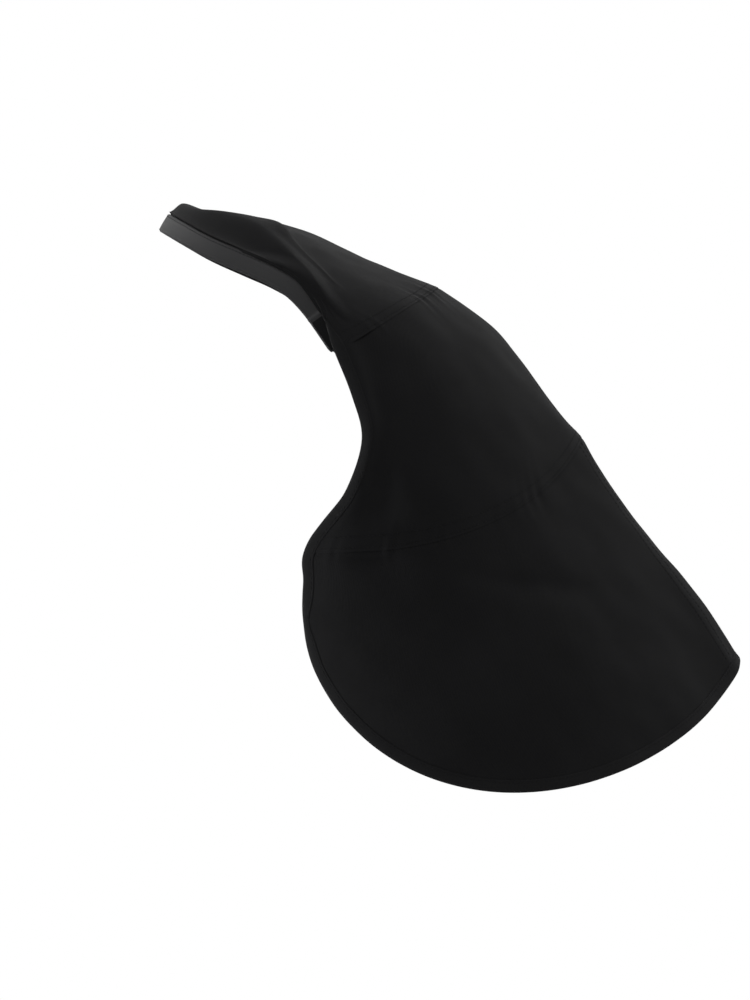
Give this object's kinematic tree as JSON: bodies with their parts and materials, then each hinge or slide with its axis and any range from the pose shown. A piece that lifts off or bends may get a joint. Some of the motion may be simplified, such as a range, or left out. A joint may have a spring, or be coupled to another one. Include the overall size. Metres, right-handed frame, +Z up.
{
  "type": "welding head cover",
  "caption": "Black flame-resistant cloth hood with a springy rim band, gathered crown, back tier, flared neck skirt and bound edge, worn behind a welding helmet.",
  "frame": {"origin": "middle of the band's inner face, where the band sits on the crown of the helmet's rear rim", "axes": "+X from the brow to the back of the head, -Y to the wearer's left, +Z up as worn"},
  "size_m": [0.3792, 0.3034, 0.3676],
  "materials": {
    "cloth": "matte",
    "band": "matte",
    "tape": "matte"
  },
  "bodies": {
    "root": {"front_band": "band", "crown_panel": "cloth", "back_panel": "cloth", "skirt_left": "cloth", "skirt_right": "cloth", "edge_binding": "tape"}
  },
  "joints": []
}
